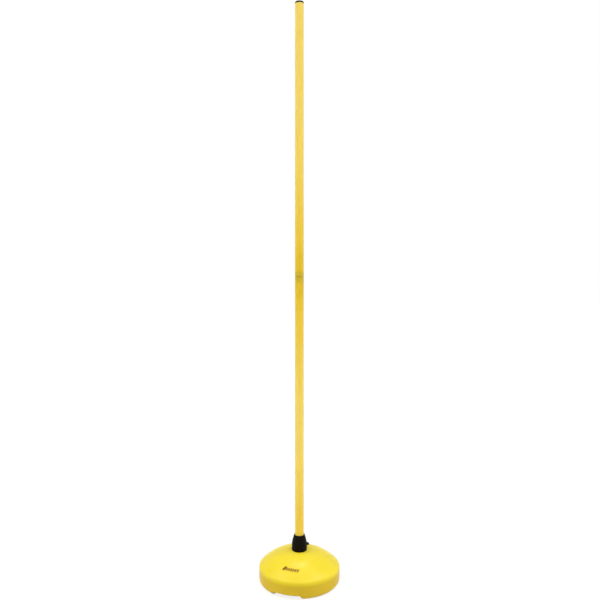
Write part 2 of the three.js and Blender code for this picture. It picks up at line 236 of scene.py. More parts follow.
def rounded(outline, steps=5, margin=0.15):
    """The outline with each corner that has a third number rounded to that radius.
    Close points beside each round keep the flat stretches' shading flat."""
    points = []
    count = len(outline)
    for i, corner in enumerate(outline):
        if len(corner) < 3:
            points.append(corner)
            continue
        here = Vector(corner[:2])
        before = Vector(outline[i - 1][:2]) - here
        after = Vector(outline[(i + 1) % count][:2]) - here
        half = before.angle(after) / 2
        reach = min(corner[2] / math.tan(half), ROUND_LIMIT * before.length, ROUND_LIMIT * after.length)
        radius = reach * math.tan(half)
        middle = here + (before.normalized() + after.normalized()).normalized() * (radius / math.sin(half))
        first = here + before.normalized() * reach - middle
        last = here + after.normalized() * reach - middle
        turn = first.angle_signed(last)
        points.append(tuple(here + before.normalized() * min(reach + margin, MARGIN_LIMIT * before.length)))
        for k in range(steps + 1):
            angle = -turn * k / steps
            spoke = Matrix.Rotation(angle, 2) @ first
            points.append(tuple(middle + spoke))
        points.append(tuple(here + after.normalized() * min(reach + margin, MARGIN_LIMIT * after.length)))
    return points


def turned(outline, sides=PLAIN_SIDES):
    """A mesh turned round the Z axis from an outline of (radius, height) in millimetres.
    An outline that does not start and end on the axis is closed into a ring."""
    on_axis = outline[0][0] == 0 and outline[-1][0] == 0
    mesh = bmesh.new()
    rings = []
    for radius, height in outline:
        if radius == 0:
            rings.append([mesh.verts.new((0, 0, height * MM))] * sides)
            continue
        rings.append([
            mesh.verts.new((
                radius * MM * math.cos(math.tau * j / sides),
                radius * MM * math.sin(math.tau * j / sides),
                height * MM,
            ))
            for j in range(sides)
        ])
    pairs = list(zip(rings, rings[1:])) + ([] if on_axis else [(rings[-1], rings[0])])
    for lower, upper in pairs:
        for j in range(sides):
            k = (j + 1) % sides
            corners = list(dict.fromkeys([lower[j], lower[k], upper[k], upper[j]]))
            if len(corners) > 2:
                mesh.faces.new(corners)
    return finished(mesh)


def ring(bore, radius, low, high, bore_round, edge_round, sides=PLAIN_SIDES, **rounding):
    """A plain ring between two heights, with its corners rounded in the bore and at the edge."""
    return turned(rounded([
        (bore, low, bore_round),
        (radius, low, edge_round),
        (radius, high, edge_round),
        (bore, high, bore_round),
    ], **rounding), sides)


def finished(mesh, crease=CREASE_ANGLE):
    """Turns the faces outwards, shades them smooth up to a crease angle and returns plain mesh data."""
    bmesh.ops.remove_doubles(mesh, verts=mesh.verts, dist=WELD_DISTANCE)
    bmesh.ops.recalc_face_normals(mesh, faces=mesh.faces)
    for face in mesh.faces:
        face.smooth = True
    for edge in mesh.edges:
        edge.smooth = len(edge.link_faces) < 2 or edge.calc_face_angle() < math.radians(crease)
    data = bpy.data.meshes.new("shape")
    mesh.to_mesh(data)
    mesh.free()
    return data


def joined(*shapes):
    """Several shapes as one mesh."""
    mesh = bmesh.new()
    for shape in shapes:
        mesh.from_mesh(shape)
    data = bpy.data.meshes.new("shape")
    mesh.to_mesh(data)
    mesh.free()
    return data


def linked(name, data):
    """A new object in the scene."""
    made = bpy.data.objects.new(name, data)
    bpy.context.scene.collection.objects.link(made)
    return made


def evaluated(holder):
    """The finished mesh that an object's modifiers give. The object is removed."""
    depsgraph = bpy.context.evaluated_depsgraph_get()
    data = bpy.data.meshes.new_from_object(holder.evaluated_get(depsgraph))
    bpy.data.objects.remove(holder)
    mesh = bmesh.new()
    mesh.from_mesh(data)
    return finished(mesh)


def cut(shape, cutter):
    """The shape with the cutter's space taken out of it."""
    holder = linked("holder", shape)
    tool = linked("tool", cutter)
    modifier = holder.modifiers.new("cut", "BOOLEAN")
    modifier.operation = "DIFFERENCE"
    modifier.solver = "EXACT"
    modifier.object = tool
    made = evaluated(holder)
    bpy.data.objects.remove(tool)
    return made


def block(size, centre, bevel=0):
    """A box of a size in millimetres about a centre, with rounded edges."""
    mesh = bmesh.new()
    bmesh.ops.create_cube(mesh, size=1)
    bmesh.ops.scale(mesh, vec=Vector(size) * MM, verts=mesh.verts)
    bmesh.ops.translate(mesh, vec=Vector(centre) * MM, verts=mesh.verts)
    if bevel:
        bmesh.ops.bevel(mesh, geom=mesh.edges[:], offset=bevel * MM, segments=4, profile=0.5, affect="EDGES")
    return finished(mesh)


# Node trees


def add(tree, kind, inputs=(), **settings):
    """Adds a node with its settings, and connects or sets its inputs."""
    made = tree.nodes.new(kind)
    for key, value in settings.items():
        setattr(made, key, value)
    for key, value in dict(inputs).items():
        if isinstance(value, bpy.types.NodeSocket):
            tree.links.new(value, made.inputs[key])
        else:
            made.inputs[key].default_value = value
    return made


def maths(tree, operation, *values):
    """The result of a Math node."""
    return add(tree, "ShaderNodeMath", enumerate(values), operation=operation).outputs[0]


def vector(tree, x=0, y=0, z=0):
    """The result of a Combine XYZ node."""
    return add(tree, "ShaderNodeCombineXYZ", {"X": x, "Y": y, "Z": z}).outputs[0]


def spread(tree, value, low, high, start=0.3, end=0.7, smooth=False):
    """The value brought from its own range, or that of noise if none is given, to another one."""
    return add(
        tree,
        "ShaderNodeMapRange",
        {"Value": value, "From Min": start, "From Max": end, "To Min": low, "To Max": high},
        interpolation_type="SMOOTHSTEP" if smooth else "LINEAR",
    ).outputs[0]


def parts_of(tree, place):
    """The X, Y and Z of a place."""
    return add(tree, "ShaderNodeSeparateXYZ", {0: place}).outputs


def position(tree):
    """The place of each point."""
    return tree.nodes.new("GeometryNodeInputPosition").outputs[0]


def put_at(tree, geometry, place):
    """The geometry with its points put at a place."""
    return add(tree, "GeometryNodeSetPosition", {"Geometry": geometry, "Position": place}).outputs[0]


def about_axis(tree, radius, turn, height):
    """The place at a radius and a height, so far round the axis from the front."""
    across = maths(tree, "MULTIPLY", radius, maths(tree, "SINE", turn))
    forward = maths(tree, "MULTIPLY", radius, maths(tree, "COSINE", turn))
    return vector(tree, across, maths(tree, "MULTIPLY", forward, -1), height)


def transformed(tree, geometry, **change):
    """The geometry, moved or turned."""
    return add(tree, "GeometryNodeTransform", {"Geometry": geometry, **change}).outputs[0]


def sampled(tree, geometry, value, number, kind):
    """The value that a numbered point of the geometry has."""
    inputs = {"Geometry": geometry, "Value": value, "Index": number}
    return add(tree, "GeometryNodeSampleIndex", inputs, data_type=kind).outputs["Value"]


def from_nearer_end(tree):
    """How far a curve's point is from the nearer end, as a share of the curve."""
    along = tree.nodes.new("GeometryNodeSplineParameter").outputs["Factor"]
    return maths(tree, "MINIMUM", along, maths(tree, "SUBTRACT", 1, along))


def swept(tree, curve, profile, **scale):
    """The solid that a profile leaves along a curve."""
    inputs = {"Curve": curve, "Profile Curve": profile, "Fill Caps": True, **scale}
    return add(tree, "GeometryNodeCurveToMesh", inputs).outputs[0]


def numbered(tree, count):
    """So many points, and the number of each."""
    points = add(tree, "GeometryNodePoints", {"Count": count}).outputs[0]
    return points, tree.nodes.new("GeometryNodeInputIndex").outputs[0]


def repeated(tree, points, shape, **change):
    """The shape at every point, each with its own change."""
    inputs = {"Points": points, "Instance": shape, **change}
    return add(tree, "GeometryNodeInstanceOnPoints", inputs).outputs[0]


def growing(name, *sizes, whole=()):
    """A new geometry node tree and its inputs: sizes, whole numbers and the coat's material."""
    tree = bpy.data.node_groups.new(name, "GeometryNodeTree")
    kinds = {"Geometry": "NodeSocketGeometry", "coat": "NodeSocketMaterial"}
    kinds.update({size: "NodeSocketFloat" for size in sizes})
    kinds.update({number: "NodeSocketInt" for number in whole})
    for label, kind in kinds.items():
        tree.interface.new_socket(label, in_out="INPUT", socket_type=kind)
    tree.interface.new_socket("Geometry", in_out="OUTPUT", socket_type="NodeSocketGeometry")
    return tree, tree.nodes.new("NodeGroupInput").outputs


def ended(tree, geometry, material):
    """Ends a tree with real geometry that has its material."""
    real = add(tree, "GeometryNodeRealizeInstances", {"Geometry": geometry}).outputs[0]
    coated = add(tree, "GeometryNodeSetMaterial", {"Geometry": real, "Material": material}).outputs[0]
    tree.links.new(coated, tree.nodes.new("NodeGroupOutput").inputs[0])
    return tree


def grown(tree, shape=None, **sizes):
    """The mesh that a tree makes from a shape with the given sizes."""
    holder = linked("holder", shape or bpy.data.meshes.new("seed"))
    modifier = holder.modifiers.new("grow", "NODES")
    modifier.node_group = tree
    for socket in tree.interface.items_tree:
        if socket.in_out == "INPUT" and socket.name in sizes:
            modifier[socket.identifier] = sizes[socket.name]
    return evaluated(holder)


def footed_shell_tree():
    """Turns an outline round the axis and lifts its underside between the feet."""
    tree, given = growing(
        "footed_shell", "gap_height", "gap_half_angle", "ramp_half_angle", whole=("columns", "feet")
    )
    outline = given["Geometry"]
    count = add(tree, "GeometryNodeAttributeDomainSize", {"Geometry": outline}).outputs["Point Count"]
    across = maths(tree, "ADD", given["columns"], 1)
    size = {"Size X": 1, "Size Y": 1, "Vertices X": across, "Vertices Y": count}
    grid = add(tree, "GeometryNodeMeshGrid", size).outputs[0]
    cell = parts_of(tree, position(tree))
    turn = maths(tree, "MULTIPLY", maths(tree, "ADD", cell["X"], 0.5), math.tau)
    last = maths(tree, "SUBTRACT", count, 1)
    number = maths(tree, "ROUND", maths(tree, "MULTIPLY", maths(tree, "ADD", cell["Y"], 0.5), last))
    point = parts_of(tree, sampled(tree, outline, position(tree), number, "FLOAT_VECTOR"))
    named = add(tree, "GeometryNodeInputNamedAttribute", {"Name": "lift"}, data_type="FLOAT").outputs
    share = sampled(tree, outline, named["Attribute"], number, "FLOAT")
    pitch = maths(tree, "DIVIDE", math.tau, given["feet"])
    nearest = maths(tree, "MULTIPLY", pitch, maths(tree, "ROUND", maths(tree, "DIVIDE", turn, pitch)))
    from_gap = maths(tree, "ABSOLUTE", maths(tree, "SUBTRACT", turn, nearest))
    ramp_start = maths(tree, "SUBTRACT", given["gap_half_angle"], given["ramp_half_angle"])
    ramp_end = maths(tree, "ADD", given["gap_half_angle"], given["ramp_half_angle"])
    lift = spread(tree, from_gap, given["gap_height"], 0.0, ramp_start, ramp_end, smooth=True)
    height = maths(tree, "ADD", point["Z"], maths(tree, "MULTIPLY", lift, share))
    shell = put_at(tree, grid, about_axis(tree, point["X"], turn, height))
    seam = {"Geometry": shell, "Distance": SEAM_DISTANCE}
    return ended(tree, add(tree, "GeometryNodeMergeByDistance", seam).outputs[0], given["coat"])


def thread_tree():
    """A thread's ridge: a trapezoid that follows a helix and fades at both ends."""
    tree, given = growing(
        "thread_ridge", "radius", "side", "pitch", "turns", "bottom", "depth", whole=("sides",)
    )
    helix = add(
        tree,
        "GeometryNodeCurveSpiral",
        {
            "Resolution": given["sides"],
            "Rotations": given["turns"],
            "Start Radius": given["radius"],
            "End Radius": given["radius"],
            "Height": maths(tree, "MULTIPLY", given["turns"], given["pitch"]),
        },
    ).outputs[0]
    raised = transformed(tree, helix, Translation=vector(tree, z=given["bottom"]))
    steps = maths(tree, "MULTIPLY", given["turns"], given["sides"])
    from_end = maths(tree, "MULTIPLY", steps, from_nearer_end(tree))
    fade_steps = maths(tree, "MULTIPLY", given["sides"], THREAD_FADE_SHARE)
    fade = spread(tree, from_end, THREAD_TIP_SHARE, 1.0, 0.0, fade_steps, smooth=True)
    upright = add(tree, "GeometryNodeSetCurveNormal", {"Curve": raised}, mode="Z_UP").outputs[0]
    section = add(
        tree,
        "GeometryNodeCurvePrimitiveQuadrilateral",
        {
            "Bottom Width": maths(tree, "MULTIPLY", given["pitch"], THREAD_ROOT_SHARE),
            "Top Width": maths(tree, "MULTIPLY", given["pitch"], THREAD_CREST_SHARE),
            "Offset": 0.0,
            "Height": maths(tree, "MULTIPLY", given["depth"], 1 + THREAD_SINK_SHARE),
        },
        mode="TRAPEZOID",
    ).outputs[0]
    rise = maths(tree, "MULTIPLY", given["depth"], (1 - THREAD_SINK_SHARE) / 2)
    lifted = transformed(tree, section, Translation=vector(tree, y=rise))
    quarter = maths(tree, "MULTIPLY", given["side"], math.pi / 2)
    turned_out = transformed(tree, lifted, Rotation=vector(tree, z=quarter))
    return ended(tree, swept(tree, upright, turned_out, Scale=fade), given["coat"])


def grip_rib_tree():
    """Ribs round a cone, each a rod sunk in its surface that dips at both ends."""
    tree, given = growing(
        "grip_ribs", "bottom_radius", "top_radius", "bottom", "top", "rod", "proud", whole=("ribs",)
    )
    inward = maths(tree, "SUBTRACT", given["proud"], given["rod"])
    ends = {
        end: vector(tree, x=maths(tree, "ADD", given[radius], inward), z=given[height])
        for end, radius, height in (("Start", "bottom_radius", "bottom"), ("End", "top_radius", "top"))
    }
    line = add(tree, "GeometryNodeCurvePrimitiveLine", ends).outputs[0]
    fine = add(tree, "GeometryNodeResampleCurve", {"Curve": line, "Count": RIB_STEPS}).outputs[0]
    depth = maths(tree, "MULTIPLY", given["proud"], -RIB_DIP)
    dip = spread(tree, from_nearer_end(tree), depth, 0.0, 0.0, RIB_END_SHARE, smooth=True)
    bent = {"Geometry": fine, "Offset": vector(tree, x=dip)}
    dipped = add(tree, "GeometryNodeSetPosition", bent).outputs[0]
    circle = {"Resolution": RIB_SIDES, "Radius": given["rod"]}
    section = add(tree, "GeometryNodeCurvePrimitiveCircle", circle).outputs[0]
    points, number = numbered(tree, given["ribs"])
    angle = maths(tree, "MULTIPLY", number, maths(tree, "DIVIDE", math.tau, given["ribs"]))
    ribs = repeated(tree, points, swept(tree, dipped, section), Rotation=vector(tree, z=angle))
    return ended(tree, ribs, given["coat"])


def printed_stroke_tree():
    """A row of slanted strokes with a bigger first one, printed on the front of a ball.
    The row lies at a distance from the axis that goes up through the ball's centre."""
    tree, given = growing(
        "printed_strokes",
        "row_length",
        "height",
        "width",
        "slant",
        "fall",
        "shift",
        "first",
        "distance",
        "ball_radius",
        "ball_centre",
        "ink",
        whole=("strokes",),
    )
    spaces = maths(tree, "SUBTRACT", given["strokes"], 1)
    spacing = maths(tree, "DIVIDE", given["row_length"], spaces)
    points, number = numbered(tree, given["strokes"])
    from_middle = maths(tree, "SUBTRACT", number, maths(tree, "DIVIDE", spaces, 2))
    beside = maths(tree, "ADD", maths(tree, "MULTIPLY", from_middle, spacing), given["shift"])
    row = put_at(tree, points, vector(tree, x=beside))
    is_first = maths(tree, "SUBTRACT", 1, maths(tree, "MINIMUM", number, 1))
    bigger = maths(tree, "POWER", given["first"], is_first)
    thickness = maths(tree, "MULTIPLY", given["ink"], MARK_BODY_SHARE)
    size = vector(tree, given["width"], given["height"], thickness)
    stroke = add(tree, "GeometryNodeMeshCube", {"Size": size, **MARK_VERTICES}).outputs[0]
    strokes = repeated(tree, row, stroke, Scale=vector(tree, bigger, bigger, 1))
    flat = add(tree, "GeometryNodeRealizeInstances", {"Geometry": strokes}).outputs[0]
    place = parts_of(tree, position(tree))
    sheared = maths(tree, "ADD", place["X"], maths(tree, "MULTIPLY", place["Y"], given["slant"]))
    turn = maths(tree, "DIVIDE", sheared, given["distance"])
    tilt_there = maths(tree, "ARCSINE", maths(tree, "DIVIDE", given["distance"], given["ball_radius"]))
    raised = maths(tree, "SUBTRACT", place["Y"], maths(tree, "MULTIPLY", place["X"], given["fall"]))
    tilt = maths(tree, "SUBTRACT", tilt_there, maths(tree, "DIVIDE", raised, given["ball_radius"]))
    out = maths(tree, "ADD", maths(tree, "SUBTRACT", given["ball_radius"], given["ink"]), place["Z"])
    flat_out = maths(tree, "MULTIPLY", out, maths(tree, "SINE", tilt))
    above_centre = maths(tree, "MULTIPLY", out, maths(tree, "COSINE", tilt))
    height = maths(tree, "ADD", given["ball_centre"], above_centre)
    return ended(tree, put_at(tree, flat, about_axis(tree, flat_out, turn, height)), given["coat"])


# Finishes, with their lengths in metres

PLASTIC_IOR = 1.5
MOULDED_COLOUR = (0.785, 0.63, 0.034)
MOULDED_DEEP_COLOUR = (0.77, 0.603, 0.026)
MOULDED_PALE_COLOUR = (0.80, 0.665, 0.085)
MOULDED_PALE_SHARE = 0.1
MOULDED_GLOSS = 0.09
MOULDED_ROUGHNESS = (0.26, 0.34)
MOULDED_WAVE_DEPTH = 0.0012
# Painted shade on the base's upright side below the shoulder, darker and more orange: its tint, and the
# heights below which it is full and above which it is gone
SKIRT_PAINTED_SHADE_TINT = (0.87, 0.76, 0.85)
SKIRT_PAINTED_SHADE_HEIGHTS = (0.034, 0.043)
SCUFF_COLOUR = (0.42, 0.33, 0.12)
SCUFF_HEIGHTS = (0.0, 0.004)
SCUFF_SHARE = 0.55
SCUFF_NOISE_RANGE = (0.42, 0.62)
SCUFF_ROUGHNESS = 0.4
MOULD_LINE_LIMITS = (0.00015, 0.0005)
MOULD_LINE_DEPTH = 0.00012
TUBE_COLOUR = (0.94, 0.70, 0.125)
TUBE_STREAK_COLOUR = (0.92, 0.67, 0.105)
TUBE_PALE_COLOUR = (0.95, 0.74, 0.18)
TUBE_PALE_SHARE = 0.25
TUBE_GLOSS = 0.2
TUBE_ROUGHNESS = (0.26, 0.36)
STREAK_STRETCH = (1, 1, 0.012)
STREAK_DEPTH = 0.00001
COLLAR_COLOUR = (0.0062, 0.0046, 0.0032)
COLLAR_RUB_COLOUR = (0.010, 0.009, 0.007)
COLLAR_GLOSS = 0.05
COLLAR_ROUGHNESS = (0.38, 0.52)
RUB_SHARE = 0.5
RUB_NOISE_RANGE = (0.55, 0.75)
GRAIN_DEPTH = 0.00004
PLAIN_GRAIN_DEPTH = 0.00003

# Painted shade bands of the tube, darker near the joint and the collar where less light comes through its
# wall: full within one distance, none past another, and their tint
HOLLOW_SHADE = (0.08, 0.40, (0.945, 0.87, 0.38))
INSERT_SHADE = (0.045, 0.11, (0.92, 0.90, 0.48))
SCREW_SHADE = (0.006, 0.024, (0.78, 0.84, 0.90))
SOCKET_SHADE = (0.02, 0.25, (0.95, 0.89, 0.50))


def coating(name, gloss):
    """A new plastic: its material, node tree and shader, and the piece's own coordinates."""
    material = bpy.data.materials.new(name)
    material.use_nodes = True
    tree = material.node_tree
    shader = tree.nodes["Principled BSDF"]
    shader.inputs["IOR"].default_value = PLASTIC_IOR
    shader.inputs["Specular IOR Level"].default_value = gloss
    place = tree.nodes.new("ShaderNodeTexCoord").outputs["Object"]
    return material, tree, shader, place


def noise(tree, place, scale, detail, stretch=(1, 1, 1)):
    """Noise with so many grains to a metre, stretched along the axes by the given shares."""
    mapped = add(tree, "ShaderNodeMapping", {"Vector": place, "Scale": stretch}).outputs[0]
    inputs = {"Vector": mapped, "Scale": scale, "Detail": detail}
    return add(tree, "ShaderNodeTexNoise", inputs).outputs["Fac"]


def tinted(tree, share, first, second, blend_type="MIX"):
    """A mix of two colours."""
    made = add(tree, "ShaderNodeMix", data_type="RGBA", blend_type=blend_type)
    for socket, value in ((0, share), (6, first), (7, second)):
        if isinstance(value, bpy.types.NodeSocket):
            tree.links.new(value, made.inputs[socket])
        else:
            made.inputs[socket].default_value = (*value, 1) if isinstance(value, tuple) else value
    return made.outputs[2]


def deepened(tree, share, colour, tint):
    """The colour, with a share of it multiplied by a tint."""
    return tinted(tree, share, colour, tinted(tree, 1.0, colour, tint, "MULTIPLY"))


def bumped(tree, shader, *layers):
    """Chains bump layers of (height from 0 to 1, depth in metres) onto the shader's normal."""
    normal = None
    for height, depth in layers:
        inputs = {"Height": height, "Distance": depth, "Strength": 1.0}
        if normal:
            inputs["Normal"] = normal
        normal = add(tree, "ShaderNodeBump", inputs).outputs[0]
    tree.links.new(normal, shader.inputs["Normal"])


def near_plane(tree, distance, inner, outer):
    """1 where a distance from a plane is under the inner limit and 0 past the outer one."""
    return spread(tree, maths(tree, "ABSOLUTE", distance), 1.0, 0.0, inner, outer, smooth=True)


def moulded_yellow():
    """Blow-moulded yellow: satin, a little uneven, with a fine mould line, scuffs under the feet and painted
    shade on the upright side.
    """
    material, tree, shader, place = coating("moulded_yellow", MOULDED_GLOSS)
    spot = parts_of(tree, place)
    cloudy = noise(tree, place, scale=22, detail=3)
    mottled = noise(tree, place, scale=240, detail=4)
    patchy = noise(tree, place, scale=420, detail=5)
    grain = noise(tree, place, scale=1500, detail=2)
    colour = tinted(tree, spread(tree, cloudy, 0.0, 1.0), MOULDED_COLOUR, MOULDED_DEEP_COLOUR)
    colour = tinted(tree, spread(tree, mottled, 0.0, MOULDED_PALE_SHARE), colour, MOULDED_PALE_COLOUR)
    # Painted shade: the upright side below the shoulder is darkened because little light falls on it
    side = spread(tree, spot["Z"], 1.0, 0.0, *SKIRT_PAINTED_SHADE_HEIGHTS, smooth=True)
    colour = deepened(tree, side, colour, SKIRT_PAINTED_SHADE_TINT)
    low = spread(tree, spot["Z"], 1.0, 0.0, *SCUFF_HEIGHTS, smooth=True)
    scuffs = maths(tree, "MULTIPLY", low, spread(tree, patchy, 0.0, SCUFF_SHARE, *SCUFF_NOISE_RANGE))
    tree.links.new(tinted(tree, scuffs, colour, SCUFF_COLOUR), shader.inputs["Base Color"])
    smoother = spread(tree, mottled, *MOULDED_ROUGHNESS)
    rough = maths(tree, "ADD", smoother, maths(tree, "MULTIPLY", scuffs, SCUFF_ROUGHNESS))
    tree.links.new(rough, shader.inputs["Roughness"])
    line = near_plane(tree, spot["Y"], *MOULD_LINE_LIMITS)
    bumped(tree, shader, (cloudy, MOULDED_WAVE_DEPTH), (line, MOULD_LINE_DEPTH), (grain, GRAIN_DEPTH))
    return material


def extruded_yellow(joint, collar):
    """Extruded yellow tube that lets a little light through, with painted shade near the joint and the
    collar where parts inside it stop that light: paler where it is empty inside.
    """
    material, tree, shader, place = coating("extruded_yellow", TUBE_GLOSS)
    spot = parts_of(tree, place)
    from_joint = maths(tree, "SUBTRACT", spot["Z"], joint)
    from_collar = maths(tree, "SUBTRACT", spot["Z"], collar)
    streaks = noise(tree, place, scale=700, detail=3, stretch=STREAK_STRETCH)
    clouds = noise(tree, place, scale=9, detail=2)
    colour = tinted(tree, spread(tree, streaks, 0.0, 1.0), TUBE_COLOUR, TUBE_STREAK_COLOUR)
    colour = tinted(tree, spread(tree, clouds, 0.0, TUBE_PALE_SHARE), colour, TUBE_PALE_COLOUR)
    # Painted shade: each band darkens the colour near the joint or the collar
    for distance, (inner, outer, tint) in (
        (from_joint, HOLLOW_SHADE),
        (from_joint, INSERT_SHADE),
        (from_joint, SCREW_SHADE),
        (from_collar, SOCKET_SHADE),
    ):
        colour = deepened(tree, near_plane(tree, distance, inner, outer), colour, tint)
    tree.links.new(colour, shader.inputs["Base Color"])
    tree.links.new(spread(tree, streaks, *TUBE_ROUGHNESS), shader.inputs["Roughness"])
    bumped(tree, shader, (streaks, STREAK_DEPTH))
    return material


def collar_black():
    """Injection-moulded black: satin, with a fine spark-eroded grain and faint pale rubs."""
    material, tree, shader, place = coating("collar_black", COLLAR_GLOSS)
    grain = noise(tree, place, scale=1800, detail=3)
    rubs = noise(tree, place, scale=160, detail=5)
    share = spread(tree, rubs, 0.0, RUB_SHARE, *RUB_NOISE_RANGE)
    tree.links.new(tinted(tree, share, COLLAR_COLOUR, COLLAR_RUB_COLOUR), shader.inputs["Base Color"])
    tree.links.new(spread(tree, rubs, *COLLAR_ROUGHNESS), shader.inputs["Roughness"])
    bumped(tree, shader, (grain, GRAIN_DEPTH))
    return material


def plain_moulded(name, colour, deep_colour, roughness, gloss=0.5):
    """A plain moulded finish in one hue, with its roughness between two limits."""
    material, tree, shader, place = coating(name, gloss)
    mottled = noise(tree, place, scale=300, detail=4)
    mixed = tinted(tree, spread(tree, mottled, 0.0, 1.0), colour, deep_colour)
    tree.links.new(mixed, shader.inputs["Base Color"])
    tree.links.new(spread(tree, mottled, *roughness), shader.inputs["Roughness"])
    bumped(tree, shader, (noise(tree, place, scale=1600, detail=2), PLAIN_GRAIN_DEPTH))
    return material


washer_low, washer_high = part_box("joint_washer")
YELLOW_BASE = moulded_yellow()
YELLOW_TUBE = extruded_yellow((washer_low.z + washer_high.z) / 2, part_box("clamp_nut")[1].z)
BLACK = collar_black()
GREY = plain_moulded("insert_grey", (0.13, 0.12, 0.10), (0.10, 0.09, 0.075), (0.45, 0.6))
RUBBER = plain_moulded("seal_rubber", (0.016, 0.016, 0.016), (0.024, 0.024, 0.023), (0.7, 0.85))
OLIVE = plain_moulded("washer_olive", (0.58, 0.42, 0.05), (0.52, 0.37, 0.04), (0.45, 0.6))
INK = plain_moulded("mark_ink", (0.22, 0.020, 0.002), (0.17, 0.014, 0.001), (0.5, 0.65), gloss=0.1)


def piece(name, shape, body, material, slot, *nodes):
    """A finished piece that stands for CAD nodes and moves with a body."""
    made = linked(name, shape)
    shape.name = name
    shape.materials.clear()
    shape.materials.append(material)
    if nodes:
        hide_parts(*nodes)
    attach(made, body)
    return made


# The base


def with_share(points, share=0):
    """Outline points that all take the same share of the gaps' lift."""
    return [(radius, height, share) for radius, height in points]


def foot_outline(inset, steps):
    """A foot's underside, drawn in by an inset: its inner round, its sole and its outer round."""
    inner = FOOT_INNER_ROUND - inset
    bottom = BOTTOM_ROUND - inset
    inside = arc(FOOT_INNER_RADIUS + inset + inner, inner + inset, inner, math.pi, 1.5 * math.pi, steps)
    outside = arc(BASE_RADIUS - inset - bottom, bottom + inset, bottom, 1.5 * math.pi, math.tau, 2 * steps)
    sole = [(inside[-1][0] + SOLE_MARGIN, inset), (outside[0][0] - SOLE_MARGIN, inset)]
    edge = [(r, z, 1 - (1 - GAP_EDGE_SHARE) * (z - inset) / bottom) for r, z in outside]
    return [*with_share([*inside, *sole], 1), *edge]


def upper_outline(inset, inner_radius, steps):
    """The side, shoulder, dome and crown, drawn in by an inset, as far as an inner radius."""
    tilt = math.acos((BASE_RADIUS - SHOULDER_ROUND) / (DOME_RADIUS - SHOULDER_ROUND))
    crown_tilt = math.acos(CROWN_RADIUS / DOME_RADIUS)
    side = [
        (BASE_RADIUS - inset, BOTTOM_ROUND + SIDE_MARGIN, GAP_EDGE_SHARE),
        (BASE_RADIUS - inset, SIDE_HEIGHT - SIDE_MARGIN, 0),
    ]
    shoulder = arc(BASE_RADIUS - SHOULDER_ROUND, SIDE_HEIGHT, SHOULDER_ROUND - inset, 0, tilt, steps)
    dome = arc(0, DOME_CENTRE, DOME_RADIUS - inset, tilt, crown_tilt, 2 * steps)[1:]
    crown = []
    for i in range(1, 3 * steps + 1):
        radius = CROWN_RADIUS + (inner_radius - CROWN_RADIUS) * i / (3 * steps)
        slope = crown_slope_at(radius)
        down = inset / math.hypot(1, slope)
        crown.append((radius - slope * down, crown_at(radius) - down))
    return [*side, *with_share([*shoulder, *dome, *crown])]


def shell_outline():
    """The base's outline, outside then inside, each point with its share of the gaps' lift."""
    neck_top = heights("neck_seal")[0] - SEAT_GAP
    bead_top = neck_top - NECK_BEAD_HEIGHT
    bead_bottom = bead_top - NECK_BEAD_HEIGHT
    neck = rounded([
        (NECK_RADIUS, bead_bottom - 2 * NECK_BEAD),
        (NECK_RADIUS, bead_bottom - NECK_BEAD, FINE_ROUND),
        (NECK_RADIUS + NECK_BEAD, bead_bottom, FINE_ROUND),
        (NECK_RADIUS + NECK_BEAD, bead_top, FINE_ROUND),
        (NECK_RADIUS, bead_top + NECK_BEAD, THIN_ROUND),
        (NECK_RADIUS, neck_top, SOFT_ROUND),
        (NECK_BORE, neck_top, SOFT_ROUND),
        (NECK_BORE, crown_at(NECK_BORE) - SHELL_WALL),
    ])
    recess = rounded([
        (0, RECESS_HEIGHT),
        (FOOT_INNER_RADIUS, RECESS_HEIGHT, FOLD_ROUND),
        (FOOT_INNER_RADIUS, 0),
    ])[:-1]
    ceiling = rounded([
        (0, RECESS_HEIGHT + SHELL_WALL),
        (FOOT_INNER_RADIUS + SHELL_WALL, RECESS_HEIGHT + SHELL_WALL, FOLD_ROUND),
        (FOOT_INNER_RADIUS + SHELL_WALL, 0),
    ])[:-1]
    outside = [*foot_outline(0, SHELL_STEPS_OUTSIDE), *upper_outline(0, NECK_RADIUS, SHELL_STEPS_OUTSIDE)]
    inside = [
        *with_share(ceiling),
        *foot_outline(SHELL_WALL, SHELL_STEPS_INSIDE),
        *upper_outline(SHELL_WALL, NECK_BORE, SHELL_STEPS_INSIDE),
    ]
    return [*with_share(recess), *outside, *with_share(neck), *reversed(inside)]


def outline_mesh(points):
    """The outline as a row of points in metres that each know their share of the lift."""
    data = bpy.data.meshes.new("outline")
    data.from_pydata([(r * MM, 0, z * MM) for r, z, _ in points], [], [])
    lift = data.attributes.new("lift", "FLOAT", "POINT")
    lift.data.foreach_set("value", [float(share) for _, _, share in points])
    return data


def filler_place():
    """Where the filler's own axis and seat lie."""
    tilt = math.atan(crown_slope_at(FILLER_DISTANCE))
    spot = Vector((0, FILLER_DISTANCE, crown_at(FILLER_DISTANCE))) * MM
    return Matrix.Translation(spot) @ Euler((-tilt, 0, 0)).to_matrix().to_4x4()


def placed(shape, matrix):
    """The shape moved to its place."""
    shape.transform(matrix)
    return shape


shell = grown(
    footed_shell_tree(),
    outline_mesh(shell_outline()),
    columns=SHELL_COLUMNS,
    feet=FOOT_COUNT,
    gap_height=GAP_HEIGHT * MM,
    gap_half_angle=GAP_HALF_ANGLE,
    ramp_half_angle=FOOT_RAMP_LENGTH / 2 / (BASE_RADIUS - BOTTOM_ROUND),
    coat=YELLOW_BASE,
)
filler_hole = turned([
    (0, -FILLER_CUT_REACH),
    (FILLER_BORE, -FILLER_CUT_REACH),
    (FILLER_BORE, FILLER_CUT_REACH),
    (0, FILLER_CUT_REACH),
], HOLE_SIDES)
shell = cut(shell, placed(filler_hole, filler_place()))
base_piece = piece("base_shell_moulding", shell, "base", YELLOW_BASE, "base_plastic", "base_shell")

